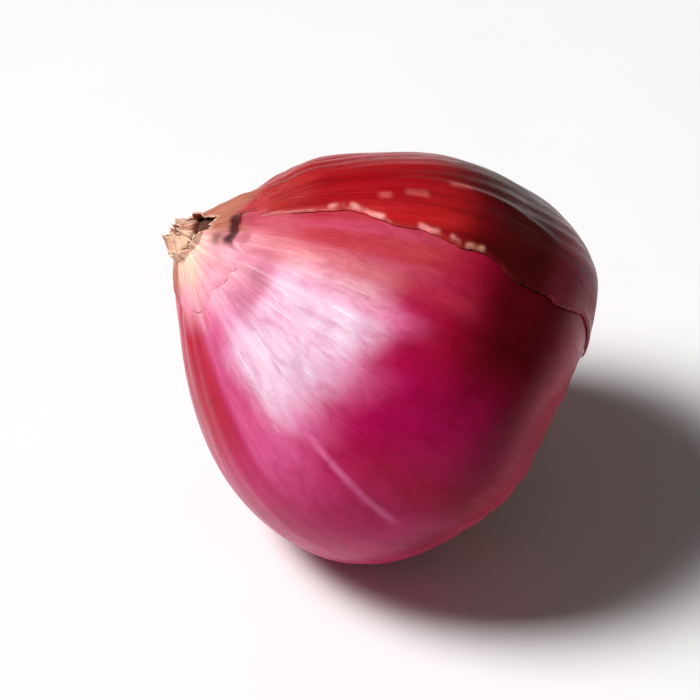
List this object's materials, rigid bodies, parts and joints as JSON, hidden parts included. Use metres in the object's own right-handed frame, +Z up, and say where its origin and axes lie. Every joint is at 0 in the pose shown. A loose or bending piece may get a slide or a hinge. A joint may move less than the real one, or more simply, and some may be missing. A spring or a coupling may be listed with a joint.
{
  "type": "pink shallot",
  "caption": "Small round shallot lying on its side: glossy pink skin, torn red outer skin over one side, withered straw neck and dried roots.",
  "frame": {"origin": "centre of the small flat spot on the underside, where the bulb lies on a surface", "axes": "+Z up from the surface; the neck points along -X and rises about 36 degrees, the root end points along +X and down"},
  "size_m": [0.0395, 0.0382, 0.0366],
  "materials": {
    "pink_skin": "satin, thin glossy bulb skin",
    "red_dry_skin": "glossy dry bulb skin",
    "straw_neck": "matte, withered and papery",
    "dried_root": "matte, dry fibres"
  },
  "bodies": {
    "root": {"bulb": "pink_skin", "outer_skin": "red_dry_skin", "neck_tip": "straw_neck", "root_tuft": "dried_root"}
  },
  "joints": []
}
